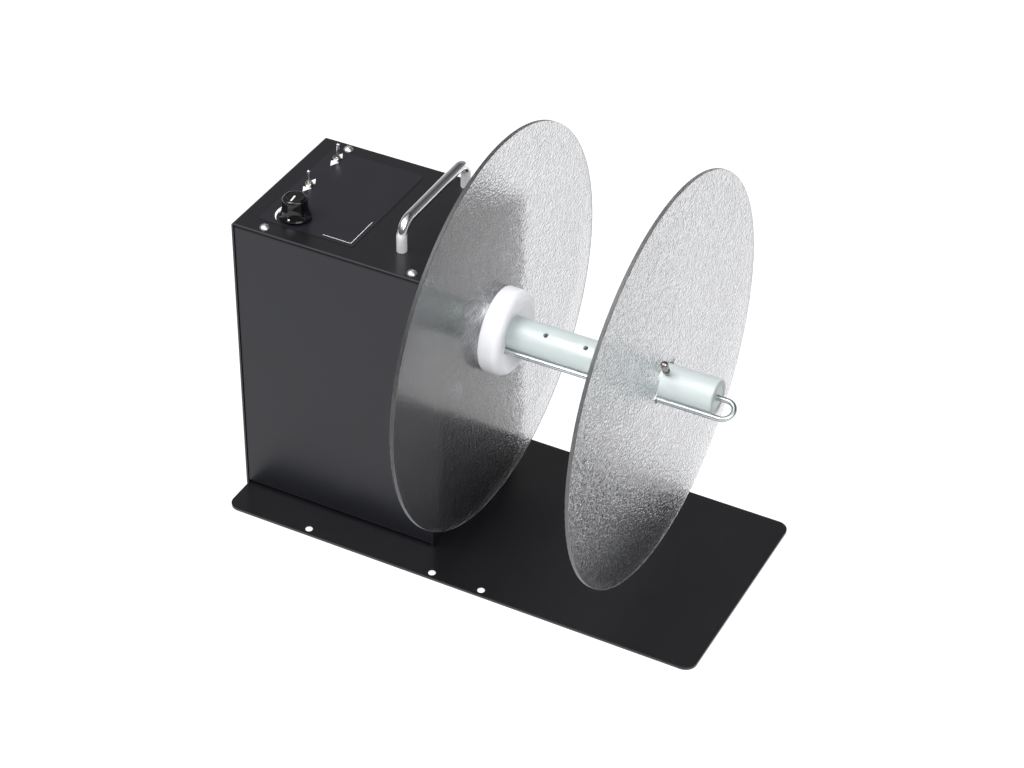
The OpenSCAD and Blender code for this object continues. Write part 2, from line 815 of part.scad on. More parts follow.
// The three pins of the mains inlet: the middle one, for earth, stands a little higher
module at_inlet_pins(z) {
    for (i = [-1, 0, 1]) {
        rise = (i == 0) ? inlet_earth_rise : -inlet_earth_rise;
        translate([i * inlet_pin_pitch - inlet_pin_t / 2, rise - inlet_pin_w / 2, z]) children();
    }
}

// Mains inlet in the back panel: flange, shell and a keyed socket open to the back
module power_inlet() color([0.07, 0.07, 0.08]) {
    face_y = cab_back - panel_inset;
    translate([inlet_x, face_y, inlet_z]) rotate([90, 0, 180]) difference() {
        union() {
            linear_extrude(inlet_flange_t) round_rect(inlet_flange_w, inlet_flange_h, inlet_corner_r);
            translate([0, 0, -inlet_depth]) linear_extrude(inlet_depth)
                round_rect(inlet_w - 2 * screw_clear, inlet_h - 2 * screw_clear, inlet_corner_r);
        }
        translate([0, 0, inlet_flange_t - inlet_socket_depth]) linear_extrude(inlet_socket_depth + over)
            round_rect(inlet_socket_w, inlet_socket_h, inlet_corner_r * 0.6);
        for (side = [-1, 1])
            translate([side * inlet_screw_pitch / 2, 0, -over])
                cylinder(d = inlet_screw_d + 2 * screw_clear, h = inlet_flange_t + 2 * over);
        at_inlet_pins(-inlet_depth - over) cube([inlet_pin_t, inlet_pin_w, inlet_depth]);
    }
}

module inlet_pins() color([0.8, 0.75, 0.5]) {
    face_y = cab_back - panel_inset;
    translate([inlet_x, face_y, inlet_z]) rotate([90, 0, 180])
        at_inlet_pins(-inlet_depth - inlet_tail_l)
            cube([inlet_pin_t, inlet_pin_w, inlet_tail_l + inlet_depth - inlet_pin_recess]);
}

module inlet_screws() color([0.75, 0.75, 0.77]) {
    for (side = [-1, 1])
        translate([inlet_x + side * inlet_screw_pitch / 2, cab_back - panel_inset + inlet_flange_t, inlet_z])
            rotate([-90, 0, 0]) {
                button_head(inlet_head_d, inlet_head_h, inlet_screw_d * 0.6);
                translate([0, 0, -inlet_screw_l]) cylinder(d = inlet_screw_d, h = inlet_screw_l);
            }
}

module rocker_frame() color([0.07, 0.07, 0.08]) {
    face_y = cab_back - panel_inset;
    pivot_y = face_y + rocker_frame_t / 2;
    difference() {
        union() {
            translate([rocker_x - rocker_frame_w / 2, face_y, rocker_z - rocker_frame_h / 2])
                cube([rocker_frame_w, rocker_frame_t, rocker_frame_h]);
            translate([rocker_x - rocker_body_w / 2 + screw_clear, face_y - rocker_body_depth,
                    rocker_z - rocker_body_h / 2 + screw_clear])
                cube([rocker_body_w - 2 * screw_clear, rocker_body_depth, rocker_body_h - 2 * screw_clear]);
        }
        translate([rocker_x - rocker_w / 2 - air, face_y - rocker_well, rocker_z - rocker_h / 2 - air])
            cube([rocker_w + 2 * air, rocker_well + rocker_frame_t + over, rocker_h + 2 * air]);
        translate([rocker_x, pivot_y - rocker_well / 2, rocker_z - rocker_h / 2 - 3 * air])
            cylinder(d = rocker_pin_d + 2 * turn_clear, h = rocker_h + 6 * air, $fn = 48);
    }
}

// Rocker with two sloping faces, on a pin across its middle
module rocker() color([0.1, 0.1, 0.11]) {
    face_y = cab_back - panel_inset;
    pivot_y = face_y + rocker_frame_t / 2 - rocker_well / 2;
    front = rocker_frame_t / 2 + rocker_well / 2 + rocker_proud;
    wing = rocker_w / 2 - 3 * air;
    low = front - wing * tan(rocker_throw) * 0.9;
    translate([rocker_x, pivot_y, rocker_z]) {
        translate([0, 0, -rocker_h / 2 + air]) rotate([0, 0, rocker_throw]) linear_extrude(rocker_h - 2 * air)
            polygon([[-wing, rocker_well / 4], [-wing, low], [0, front - rocker_proud / 2], [wing, low],
                [wing, rocker_well / 4], [rocker_pin_d, -rocker_pin_d], [-rocker_pin_d, -rocker_pin_d]]);
        translate([0, 0, -rocker_h / 2 - 2 * air]) cylinder(d = rocker_pin_d, h = rocker_h + 4 * air, $fn = 48);
    }
}

module motor_can() color([0.6, 0.6, 0.62]) {
    edge = motor_d / 26;
    on_axle(motor_x) x_turn() {
        translate([0, edge]) square([motor_d / 2, motor_l - edge]);
        square([motor_d / 2 - edge, motor_l]);
        translate([motor_d / 2 - edge, edge]) circle(r = edge, $fn = 48);
    }
}

module motor_end_cap() color([0.1, 0.1, 0.1]) {
    on_axle(motor_x - motor_cap_l) {
        x_bar(motor_cap_d, motor_cap_l);
        for (side = [-1, 1])
            translate([-motor_tab_l, side * motor_cap_d / 4 - motor_tab_w / 2, -motor_tab_t / 2])
                cube([motor_tab_l + over, motor_tab_w, motor_tab_t]);
    }
}

// Gearbox with a stepped nose that centres it in the motor plate
module gearbox() color([0.55, 0.55, 0.57]) {
    ring_w = gearbox_l / 12;
    on_axle(gearbox_x) difference() {
        union() {
            x_bar(gearbox_d, gearbox_l);
            x_bar(gear_nose_d, gearbox_l + gear_nose_l);
        }
        for (i = [1, 2])
            translate([i * gearbox_l / 3, 0, 0]) difference() {
                x_bar(gearbox_d + over, ring_w / 2);
                x_bar(gearbox_d - ring_w / 2, ring_w / 2);
            }
        translate([gearbox_l / 2 - turn_clear, 0, 0])
            x_bar(gear_shaft_d + 2 * turn_clear, gearbox_l / 2 + gear_nose_l + over);
        for (i = [0 : 3])
            rotate([45 + i * 90, 0, 0]) translate([gearbox_l - gear_head_d, 0, gear_screw_pcd / 2])
                x_bar(gear_screw_d + 2 * screw_clear, gear_head_d + over);
    }
}

module gearbox_shaft() color([0.8, 0.8, 0.82]) {
    start = gearbox_x + gearbox_l / 2;
    on_axle(start) x_bar(gear_shaft_d, gear_shaft_end_x - start);
}

module motor_plate() color([0.7, 0.7, 0.72]) {
    on_axle(motor_plate_x) difference() {
        rotate([90, 0, 90]) linear_extrude(motor_plate_t)
            round_rect(motor_plate_s, motor_plate_s, motor_plate_r);
        translate([-over, 0, 0]) x_bar(gear_nose_d + 2 * screw_clear, motor_plate_t + 2 * over);
        for (i = [0 : 3])
            rotate([45 + i * 90, 0, 0]) translate([-over, 0, gear_screw_pcd / 2])
                x_bar(gear_screw_d + 2 * screw_clear, motor_plate_t + 2 * over);
        for (sy = [-1, 1], sz = [-1, 1])
            translate([-over, sy * standoff_at, sz * standoff_at])
                x_bar(standoff_screw_d + 2 * screw_clear, motor_plate_t + 2 * over);
    }
}

module gearbox_screws() color([0.3, 0.3, 0.32]) {
    bite = gear_screw_bite;
    on_circle(motor_plate_x + motor_plate_t, gear_screw_pcd, 4, 45) {
        difference() {
            x_bar(gear_head_d, gear_head_h);
            translate([gear_head_h / 2, 0, 0]) rotate([0, 90, 0])
                cylinder(d = gear_head_d / 2, h = gear_head_h, $fn = 6);
        }
        translate([-motor_plate_t - bite, 0, 0]) x_bar(gear_screw_d, motor_plate_t + bite);
    }
}

module standoffs() color([0.78, 0.7, 0.4]) {
    at_standoffs(motor_plate_x + motor_plate_t) difference() {
        rotate([0, 90, 0]) cylinder(d = standoff_af / cos(30), h = standoff_l, $fn = 6);
        for (x = [-over, standoff_l - standoff_screw_l - over])
            translate([x, 0, 0]) x_bar(standoff_screw_d + 2 * screw_clear, standoff_screw_l + 2 * over);
    }
}

module standoff_screws() color([0.75, 0.75, 0.77]) {
    at_standoffs(wall_out) {
        rotate([0, 90, 0]) button_head(standoff_head_d, standoff_head_h, standoff_screw_d * 0.6);
        translate([-standoff_screw_l, 0, 0]) x_bar(standoff_screw_d, standoff_screw_l);
    }
    at_standoffs(motor_plate_x) {
        rotate([0, -90, 0]) button_head(standoff_head_d, standoff_head_h, standoff_screw_d * 0.6);
        x_bar(standoff_screw_d, standoff_screw_l);
    }
}

// Turned housing: flange behind the wall, nose through it, and a shoulder between two bearing seats
module bearing_housing() color([0.72, 0.73, 0.75]) {
    start = wall_in - housing_flange_t - housing_inner_l;
    full_l = wall_out + housing_proud - start;
    difference() {
        union() {
            on_axle(start) x_bar(housing_d, full_l);
            on_axle(wall_in - housing_flange_t) x_bar(housing_flange_d, housing_flange_t);
        }
        on_axle(start - over) x_bar(housing_shoulder_d, full_l + 2 * over);
        on_axle(start - over) x_bar(bearing_d, bearing_a_x + bearing_w - start + over);
        on_axle(bearing_b_x) x_bar(bearing_d, full_l);
        on_circle(wall_in - housing_flange_t - over, housing_screw_pcd, 4, 0)
            x_bar(housing_screw_d + 2 * screw_clear, housing_flange_t + 2 * over);
    }
}

module housing_screws() color([0.75, 0.75, 0.77]) {
    on_circle(wall_out, housing_screw_pcd, 4, 0) {
        rotate([0, 90, 0]) button_head(housing_head_d, housing_head_h, housing_screw_d * 0.6);
        translate([-housing_screw_l, 0, 0]) x_bar(housing_screw_d, housing_screw_l);
    }
}

// Groove cut round a bearing ring for its balls
module ball_groove() {
    translate([ball_pcd / 2, bearing_w / 2]) circle(d = ball_d + 2 * air, $fn = 48);
}

module bearing_outer_rings() color([0.7, 0.71, 0.73]) {
    for (x = [bearing_a_x, bearing_b_x])
        on_axle(x) x_turn() difference() {
            translate([outer_ring_bore_d / 2, 0]) square([(bearing_d - outer_ring_bore_d) / 2, bearing_w]);
            ball_groove();
        }
}

module bearing_inner_rings() color([0.75, 0.76, 0.78]) {
    for (x = [bearing_a_x, bearing_b_x])
        on_axle(x) x_turn() difference() {
            translate([shaft_d / 2, 0]) square([(inner_ring_d - shaft_d) / 2, bearing_w]);
            ball_groove();
        }
}

module bearing_balls() color([0.85, 0.85, 0.87]) {
    for (x = [bearing_a_x, bearing_b_x])
        on_circle(x + bearing_w / 2, ball_pcd, ball_count, 0) sphere(d = ball_d, $fn = 48);
}

module bearing_spacer() color([0.6, 0.6, 0.62]) {
    start = bearing_a_x + bearing_w;
    on_axle(start) difference() {
        x_bar(inner_ring_d, bearing_b_x - start);
        translate([-over, 0, 0]) x_bar(shaft_d, bearing_b_x - start + 2 * over);
    }
}

module spindle_shaft() color([0.78, 0.79, 0.8]) {
    edge = shaft_d / 12;
    full_l = shaft_end_x - shaft_start_x;
    on_axle(shaft_start_x) x_turn()
        polygon([[0, 0], [shaft_d / 2 - edge, 0], [shaft_d / 2, edge], [shaft_d / 2, full_l - edge],
            [shaft_d / 2 - edge, full_l], [0, full_l]]);
}

// A pie slice from the axis, for cutting jaws
module slice(r, deg, h) {
    rotate([0, 0, -deg / 2]) rotate_extrude(angle = deg) square([r, h]);
}

// One coupling hub, its jaws pointing along +Z; the bore takes the shaft
module coupling_half(bore) {
    difference() {
        union() {
            cylinder(d = coupling_d, h = coupling_hub_l);
            for (i = [0 : coupling_jaws - 1])
                rotate([0, 0, i * 360 / coupling_jaws])
                    slice(coupling_d / 2, coupling_jaw_deg, coupling_hub_l + coupling_jaw_l - coupling_gap);
        }
        translate([0, 0, -over]) cylinder(d = bore, h = coupling_hub_l + 2 * over);
        translate([0, 0, coupling_hub_l])
            cylinder(d = coupling_web_d, h = coupling_jaw_l + over);
    }
}

module coupling_motor_half() color([0.62, 0.63, 0.66]) {
    on_axle(coupling_x) rotate([0, 90, 0]) coupling_half(gear_shaft_d);
}

module coupling_spindle_half() color([0.62, 0.63, 0.66]) {
    on_axle(coupling_far_x + coupling_hub_l) rotate([0, -90, 0]) coupling_half(shaft_d);
}

module coupling_spider() color([0.75, 0.25, 0.15]) {
    gap_deg = 180 / coupling_jaws - coupling_jaw_deg;
    arm_w = coupling_web_d * sin(gap_deg / 2) - coupling_gap / 2;
    arm_l = coupling_d - 2 * coupling_gap;
    thick = coupling_jaw_l - 2 * coupling_gap;
    on_axle(coupling_mid_x + coupling_gap) rotate([0, 90, 0]) {
        cylinder(d = coupling_web_d - coupling_gap, h = thick);
        for (i = [0 : coupling_jaws - 1])
            rotate([0, 0, (i + 0.5) * 180 / coupling_jaws])
                translate([-arm_l / 2, -arm_w / 2, 0]) cube([arm_l, arm_w, thick]);
    }
}

// Hub keyed to the shaft: its flange backs the inner disc
module drive_hub() color([0.66, 0.67, 0.7]) {
    difference() {
        union() {
            on_axle(hub_x) x_bar(hub_boss_d, hub_boss_l + hub_flange_t);
            on_axle(hub_x + hub_boss_l) x_bar(hub_flange_d, hub_flange_t);
        }
        on_axle(hub_x - over) x_bar(shaft_d, hub_boss_l + hub_flange_t + 2 * over);
        on_circle(hub_x, hub_screw_pcd, 4, 45)
            x_bar(hub_screw_d + 2 * screw_clear, hub_boss_l + hub_flange_t + over);
    }
}

module hub_screws() color([0.75, 0.75, 0.77]) {
    on_circle(hub_x + hub_boss_l, hub_screw_pcd, 4, 45) {
        rotate([0, -90, 0]) button_head(hub_head_d, hub_head_h, hub_screw_d * 0.6);
        x_bar(hub_screw_d, hub_flange_t + disc_t + hub_screw_bite);
    }
}

// A clear disc's plain blank with softened rim edges
module disc_blank() {
    edge = disc_t / 6;
    x_turn() {
        square([disc_d / 2 - edge, disc_t]);
        translate([0, edge]) square([disc_d / 2, disc_t - 2 * edge]);
        for (z = [edge, disc_t - edge]) translate([disc_d / 2 - edge, z]) circle(r = edge, $fn = 32);
    }
}

module inner_disc() color([0.8, 0.82, 0.84, 0.6]) {
    difference() {
        on_axle(disc1_x) disc_blank();
        on_axle(disc1_x - over) x_bar(shaft_d + 2 * air, disc_t + 2 * over);
        on_circle(disc1_x - over, hub_screw_pcd, 4, 45)
            x_bar(hub_screw_d + 2 * screw_clear, disc_t + 2 * over);
    }
}

// White collar: seats the tube's end and takes the tip of the wire's outer leg
module collar() color([0.94, 0.94, 0.95]) {
    r = collar_round_r;
    face_r = collar_d / 2 - r;
    difference() {
        on_axle(collar_x) x_turn() {
            square([collar_d / 2, collar_t - r]);
            translate([face_r, collar_t - r]) circle(r = r);
            polygon([[0, 0], [face_r, 0], [face_r, collar_t],
                [tube_d / 2, collar_t - collar_dish], [0, collar_t - collar_dish]]);
        }
        on_axle(collar_x - over) x_bar(shaft_d + 2 * air, collar_t + 2 * over);
        on_axle(tube_x) x_bar(tube_d + 2 * screw_clear, collar_t);
        on_circle(collar_x - over, hub_screw_pcd, 4, 45)
            x_bar(hub_screw_d + 2 * screw_clear, over + hub_screw_bite + air);
        on_axle(wire_outer_tip_x - air) rotate([wire_angle, 0, 0]) translate([0, 0, wire_r])
            x_bar(wire_d + 2 * air, collar_t);
    }
}

// Tube with two rows of tapped holes for the stop screws
module spindle_tube() color([0.78, 0.85, 0.83]) {
    c = tube_chamfer;
    r = tube_d / 2;
    bore_r = tube_bore_d / 2;
    difference() {
        on_axle(tube_x) x_turn()
            polygon([[bore_r, 0], [r, 0], [r, tube_l - c], [r - c, tube_l], [bore_r, tube_l]]);
        for (i = [0 : row_count - 1]) {
            on_tube(stop_x - i * row_pitch, row_angle) translate([0, 0, -r])
                cylinder(d = stop_hole_d, h = r + over, $fn = 48);
            if (i < row_count - 1)
                on_tube(inner_stop_x - i * row_pitch, row_angle - 90) translate([0, 0, -r])
                    cylinder(d = stop_hole_d, h = r + over, $fn = 48);
        }
    }
}

module tube_bush() color([0.7, 0.71, 0.73]) {
    on_axle(tube_x) difference() {
        x_bar(tube_bore_d, bush_l);
        translate([-over, 0, 0]) x_bar(shaft_d, bush_l + 2 * over);
    }
}

module end_cap() color([0.7, 0.71, 0.73]) {
    on_axle(tube_end_x - cap_recess - cap_l) difference() {
        x_bar(tube_bore_d, cap_l);
        translate([-over, 0, 0]) x_bar(cap_hole_d, cap_l + 2 * over);
    }
}

// A slotted cheese-head screw in a tapped hole of the tube
module inner_stop_screw() color([0.8, 0.8, 0.82]) {
    wall = (tube_d - tube_bore_d) / 2;
    on_tube(inner_stop_x, row_angle - 90) difference() {
        union() {
            translate([0, 0, -wall]) cylinder(d = stop_core_d, h = wall + inner_stop_neck, $fn = 48);
            translate([0, 0, inner_stop_neck]) cylinder(d = stop_head_d, h = inner_stop_head_h);
        }
        translate([-stop_slot_w / 2, -stop_head_d, inner_stop_neck + inner_stop_head_h - stop_slot_h])
            cube([stop_slot_w, 2 * stop_head_d, stop_slot_h + over]);
    }
}

// Thumbscrew that keeps the outer disc on: knurled head over a round lock nut on its stem
module stop_screw() color([0.86, 0.86, 0.88]) {
    wall = (tube_d - tube_bore_d) / 2;
    ball_r = stop_head_d * 0.6;
    nut_r = stop_head_d / 2;
    on_tube(stop_x, row_angle) difference() {
        union() {
            translate([0, 0, -wall]) cylinder(d = stop_core_d, h = wall + stop_neck, $fn = 48);
            translate([0, 0, stop_neck]) intersection() {
                cylinder(d = stop_head_d, h = stop_head_h);
                translate([0, 0, stop_head_h - ball_r]) sphere(r = ball_r);
            }
            translate([0, 0, stop_neck]) cylinder(d = stop_head_d, h = stop_head_h / 2);
            translate([0, 0, stop_nut_lift]) rotate_extrude()
                polygon([[0, 0], [nut_r - stop_nut_edge, 0], [nut_r, stop_nut_edge],
                    [nut_r, stop_nut_h - stop_nut_edge], [nut_r - stop_nut_edge, stop_nut_h],
                    [0, stop_nut_h]]);
        }
        for (i = [0 : stop_knurls - 1])
            rotate([0, 0, i * 360 / stop_knurls])
                translate([stop_head_d / 2 + stop_knurl_d / 6, 0, stop_neck - over])
                    cylinder(d = stop_knurl_d, h = stop_head_h + 2 * over, $fn = 16);
    }
}

// Outer disc: slides over the tube, with a notch that lets the wire's outer leg through
module outer_disc() color([0.8, 0.82, 0.84, 0.6]) {
    difference() {
        on_axle(disc2_x) disc_blank();
        on_axle(disc2_x - over) x_bar(tube_d + 2 * disc_slack, disc_t + 2 * over);
        on_axle(disc2_x - over) rotate([wire_angle, 0, 0]) translate([0, 0, wire_r])
            x_bar(wire_d + 2 * disc_slack, disc_t + 2 * over);
    }
}

// U-shaped wire: one leg inside the tube, the other along its outside, joined by a round loop
module retaining_wire() color([0.8, 0.82, 0.83]) {
    bend = wire_r / 2;
    on_axle(0) rotate([wire_angle, 0, 0]) {
        translate([wire_inner_tip_x, 0, 0]) x_bar(wire_d, wire_loop_x - wire_inner_tip_x);
        translate([wire_inner_tip_x, 0, 0]) sphere(r = wire_tip_r, $fn = 48);
        translate([wire_outer_tip_x, 0, wire_r]) x_bar(wire_d, wire_loop_x - wire_outer_tip_x);
        translate([wire_loop_x, 0, bend]) rotate([90, 0, 0]) rotate([0, 0, -90])
            rotate_extrude(angle = 180) translate([bend, 0]) circle(d = wire_d, $fn = 64);
    }
}

module at_board_holes() {
    translate([board_x + board_l / 2, board_y + board_w / 2, floor_top])
        for (sx = [-1, 1], sy = [-1, 1])
            translate([sx * (board_l / 2 - board_hole_inset), sy * (board_w / 2 - board_hole_inset), 0])
                children();
}

module control_board() color([0.1, 0.35, 0.16]) {
    difference() {
        translate([board_x, board_y, floor_top + board_lift]) cube([board_l, board_w, board_t]);
        at_board_holes() cylinder(d = board_pin_d + 2 * screw_clear, h = board_lift + board_t + over);
    }
}

// Spacers with a pin below through the floor and one above through the board
module board_spacers() color([0.85, 0.85, 0.82]) {
    at_board_holes() {
        cylinder(d = board_spacer_d, h = board_lift);
        translate([0, 0, -chassis_t]) cylinder(d = board_pin_d, h = chassis_t + board_lift + board_t);
        translate([0, 0, board_lift + board_t]) cylinder(d = board_spacer_d, h = board_clip_t);
    }
}

// Heat sink, smoothing capacitor and terminal strip on the board
module board_parts() color([0.25, 0.25, 0.28]) {
    top = floor_top + board_lift + board_t;
    fin_step = (sink_l - sink_fin_t) / (sink_fins - 1);
    translate([board_x + board_l / 2, board_y + board_w - sink_w - board_spacer_d, top]) {
        cube([sink_l, sink_base_t, sink_h]);
        for (i = [0 : sink_fins - 1])
            translate([i * fin_step, 0, 0]) cube([sink_fin_t, sink_w, sink_h]);
    }
    translate([board_x + board_l / 4, board_y + board_w / 2, top]) cylinder(d = can_d, h = can_h);
    translate([board_x + board_l / 4, board_y + board_hole_inset + board_spacer_d / 2, top]) difference() {
        cube([terminal_l, terminal_w, terminal_h]);
        for (i = [0 : terminal_ways - 1])
            translate([(i + 0.5) * terminal_l / terminal_ways, terminal_w / 2, terminal_h / 2])
                cylinder(d = terminal_screw_d, h = terminal_h, $fn = 32);
    }
}

// Shell-type transformer: laminated core with two windows, and the coil wound through them
module transformer_core() color([0.35, 0.35, 0.38]) {
    window = trafo_l * trafo_window_share;
    limb = (trafo_l - 2 * window) / 4;
    translate([trafo_x, trafo_y, floor_top]) difference() {
        cube([trafo_l, trafo_w, trafo_h]);
        for (x = [limb, trafo_l - limb - window])
            translate([x, -over, limb]) cube([window, trafo_w + 2 * over, trafo_h - 2 * limb]);
    }
}

module transformer_coil() color([0.7, 0.55, 0.2]) {
    window = trafo_l * trafo_window_share;
    limb = (trafo_l - 2 * window) / 4;
    core_w = trafo_l - 2 * limb - 2 * window;
    coil_l = core_w + 2 * window - 2 * air;
    translate([trafo_x + trafo_l / 2, trafo_y + trafo_w / 2, floor_top + limb + air])
        linear_extrude(trafo_h - 2 * limb - 2 * air) difference() {
            round_rect(coil_l, trafo_coil_w, trafo_coil_r);
            square([core_w + 2 * screw_clear, trafo_w + 2 * screw_clear], center = true);
        }
}

base_plate();
rubber_feet();
base_screws();
base_nuts();
chassis();
cover();
top_screws();
control_label();
handle();
handle_screws();
torque_knob();
pot_shaft();
pot_body();
pot_nut();
direction_switch();
direction_nut();
direction_lever();
torque_switch();
torque_switch_nut();
torque_lever();
power_inlet();
inlet_pins();
inlet_screws();
rocker_frame();
rocker();
motor_can();
motor_end_cap();
gearbox();
gearbox_shaft();
motor_plate();
gearbox_screws();
standoffs();
standoff_screws();
bearing_housing();
housing_screws();
bearing_outer_rings();
bearing_inner_rings();
bearing_balls();
bearing_spacer();
spindle_shaft();
coupling_motor_half();
coupling_spider();
coupling_spindle_half();
drive_hub();
hub_screws();
inner_disc();
collar();
spindle_tube();
tube_bush();
end_cap();
inner_stop_screw();
stop_screw();
outer_disc();
retaining_wire();
control_board();
board_spacers();
board_parts();
transformer_core();
transformer_coil();
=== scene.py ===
# %% [markdown]
# # A bench label rewinder: from solids to a studio portrait
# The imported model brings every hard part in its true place: cabinet, base plate, spindle, discs.
# This lesson gives each of them a finish, adds the fine pieces that are easier to shape in
# Blender, and lights the whole as a catalogue photograph would be.

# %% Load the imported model
import json
import math

import bmesh
import bpy
from mathutils import Matrix, Vector

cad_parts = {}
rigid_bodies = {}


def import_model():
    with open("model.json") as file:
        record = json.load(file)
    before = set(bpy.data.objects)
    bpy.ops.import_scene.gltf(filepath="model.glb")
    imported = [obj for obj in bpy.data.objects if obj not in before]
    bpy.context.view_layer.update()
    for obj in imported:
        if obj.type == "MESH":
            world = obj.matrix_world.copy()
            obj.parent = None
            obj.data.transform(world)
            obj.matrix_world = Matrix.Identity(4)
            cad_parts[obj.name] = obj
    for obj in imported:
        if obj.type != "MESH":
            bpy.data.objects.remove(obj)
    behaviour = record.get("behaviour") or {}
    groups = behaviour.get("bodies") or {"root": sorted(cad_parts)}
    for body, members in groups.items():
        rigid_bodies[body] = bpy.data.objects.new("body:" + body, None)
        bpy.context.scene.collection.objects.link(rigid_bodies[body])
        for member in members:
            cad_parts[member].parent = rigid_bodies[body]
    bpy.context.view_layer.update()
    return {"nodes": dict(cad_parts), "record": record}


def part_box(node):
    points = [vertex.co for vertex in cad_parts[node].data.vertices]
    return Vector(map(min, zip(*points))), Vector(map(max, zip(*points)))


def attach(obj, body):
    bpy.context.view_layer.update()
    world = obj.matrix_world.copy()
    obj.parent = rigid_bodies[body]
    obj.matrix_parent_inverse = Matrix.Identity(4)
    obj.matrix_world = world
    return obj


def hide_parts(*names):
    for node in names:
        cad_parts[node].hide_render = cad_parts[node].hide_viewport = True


for leftover in list(bpy.data.objects):
    bpy.data.objects.remove(leftover)
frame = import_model()
nodes = frame["nodes"]
record = frame["record"]
mm = 0.001

# %% [markdown]
# ## The camera
# The picture was taken from the front right, well above the machine, with a long lens. A camera
# can be aimed with a constraint, but its angles are known here, so three plain turns are enough:
# tip down from level, turn round the upright, and a very small roll.

# %% Camera
camera_eye = Vector((0.6908, -1.3627, 1.2855))
camera_turn = math.radians(26.85)
camera_tip = math.radians(37.18)
camera_roll = math.radians(0.93)
sensor_mm, lens_mm = 36.0, 93.41
camera = bpy.data.objects.new("camera", bpy.data.cameras.new("camera"))
camera.data.sensor_width = sensor_mm
camera.data.lens = lens_mm
camera.matrix_world = (
    Matrix.Translation(camera_eye)
    @ Matrix.Rotation(camera_turn, 4, "Z")
    @ Matrix.Rotation(math.pi / 2 - camera_tip, 4, "X")
    @ Matrix.Rotation(camera_roll, 4, "Z")
)
bpy.context.collection.objects.link(camera)
bpy.context.scene.camera = camera
bpy.context.scene.view_settings.view_transform = "Standard"
print("camera:", [round(v, 3) for v in camera.matrix_world.translation])

# %% [markdown]
# ## Writing shader maths as sums
# Shader nodes can be laid by hand, but a formula is easier to read. A Wire holds one socket, and
# each operator on it adds the Math node that does the same. Paint adds any other node: its type,
# then its settings, then what goes into its sockets.


# %% Wire and Paint
class Wire:
    """One output socket, which can stand in a sum with numbers and other wires."""

    def __init__(self, paint, socket):
        self.paint, self.socket = paint, socket

    def maths(self, operation, first, second=0.0):
        return self.paint.add("Math", {"operation": operation}, {0: first, 1: second})

    def __add__(self, other):
        return self.maths("ADD", self, other)

    def __radd__(self, other):
        return self.maths("ADD", other, self)

    def __sub__(self, other):
        return self.maths("SUBTRACT", self, other)

    def __rsub__(self, other):
        return self.maths("SUBTRACT", other, self)

    def __mul__(self, other):
        return self.maths("MULTIPLY", self, other)

    def __rmul__(self, other):
        return self.maths("MULTIPLY", other, self)

    def __gt__(self, other):
        return self.maths("GREATER_THAN", self, other)

    def __lt__(self, other):
        return self.maths("LESS_THAN", self, other)


class Paint:
    """The node tree of one finish, or of the room round the machine."""

    def __init__(self, name, kind=bpy.data.materials):
        self.owner = kind.new(name)
        self.owner.use_nodes = True
        self.tree = self.owner.node_tree
        self.tree.nodes.clear()

    def add(self, kind, settings=None, inputs=None, out=0):
        node = self.tree.nodes.new("ShaderNode" + kind)
        for key, value in (settings or {}).items():
            if key == "stops":
                while len(node.color_ramp.elements) < len(value):
                    node.color_ramp.elements.new(1.0)
                for stop, (place, shade) in zip(node.color_ramp.elements, value):
                    stop.position, stop.color = place, (shade, shade, shade, 1.0)
            else:
                setattr(node, key, value)
        for key, value in (inputs or {}).items():
            if isinstance(value, Wire):
                self.tree.links.new(value.socket, node.inputs[key])
            else:
                node.inputs[key].default_value = value
        return Wire(self, node.outputs[out]) if node.outputs else None

    def place(self):
        return self.add("TexCoord", out="Object")

    def axis(self, name):
        return self.add("SeparateXYZ", inputs={0: self.place()}, out=name)

    def noise(self, scale, stretch=(1, 1, 1), detail=3.0):
        where = self.add("Mapping", inputs={"Vector": self.place(), "Scale": stretch})
        return self.add("TexNoise", inputs={"Vector": where, "Scale": scale, "Detail": detail})

    def ramp(self, value, *stops):
        return self.add("ValToRGB", {"stops": stops}, {0: value})

    def fade(self, value, start, end):
        return self.add("MapRange", {"interpolation_type": "SMOOTHSTEP"}, {0: value, 1: start, 2: end})

    def tint(self, share, low, high):
        low, high = (shade if isinstance(shade, Wire) else (*shade, 1) for shade in (low, high))
        return self.add("Mix", {"data_type": "RGBA"}, {0: share, 6: low, 7: high}, 2)

    def bump(self, height, depth):
        return self.add("Bump", inputs={"Height": height, "Distance": depth, "Strength": 1.0})

    def close(self, **inputs):
        named = {key.replace("_", " "): value for key, value in inputs.items()}
        surface = self.add("BsdfPrincipled", inputs=named)
        self.add("OutputMaterial", inputs={"Surface": surface})
        return self.owner


def between(share, low, high):
    """A number that runs from low to high as the share goes from 0 to 1."""
    return share * (high - low) + low


def shades(colour, darker, lighter):
    """The dark and the light end of a colour that clouds a little over a surface."""
    return [v * darker for v in colour], [min(1.0, v * lighter) for v in colour]


# %% [markdown]
# ## Painted sheet metal
# The cover and base plate wear a fine glossy powder coat; the bent chassis inside the cover is a
# shade more satin. A flat black would look like paper. Powder coat has a shallow orange peel,
# which one small noise gives as a bump, while a wider one shifts gloss and shade a little. The
# plate's bench holes are drilled after painting, so their walls are bare and bright: each is
# found by its distance from the hole's middle.

# %% Powder coats
cover_low, cover_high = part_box("cover")
plate_low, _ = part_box("base_plate")
bench_hole_r, bench_hole_inset = 2.75, 5.2
bench_hole_rights = (70.3, 174.3, 214.8)
bench_holes = [
    (cover_low.x + right * mm, plate_low.y + bench_hole_inset * mm, 0.0) for right in bench_hole_rights
]
bright_edge = 0.05


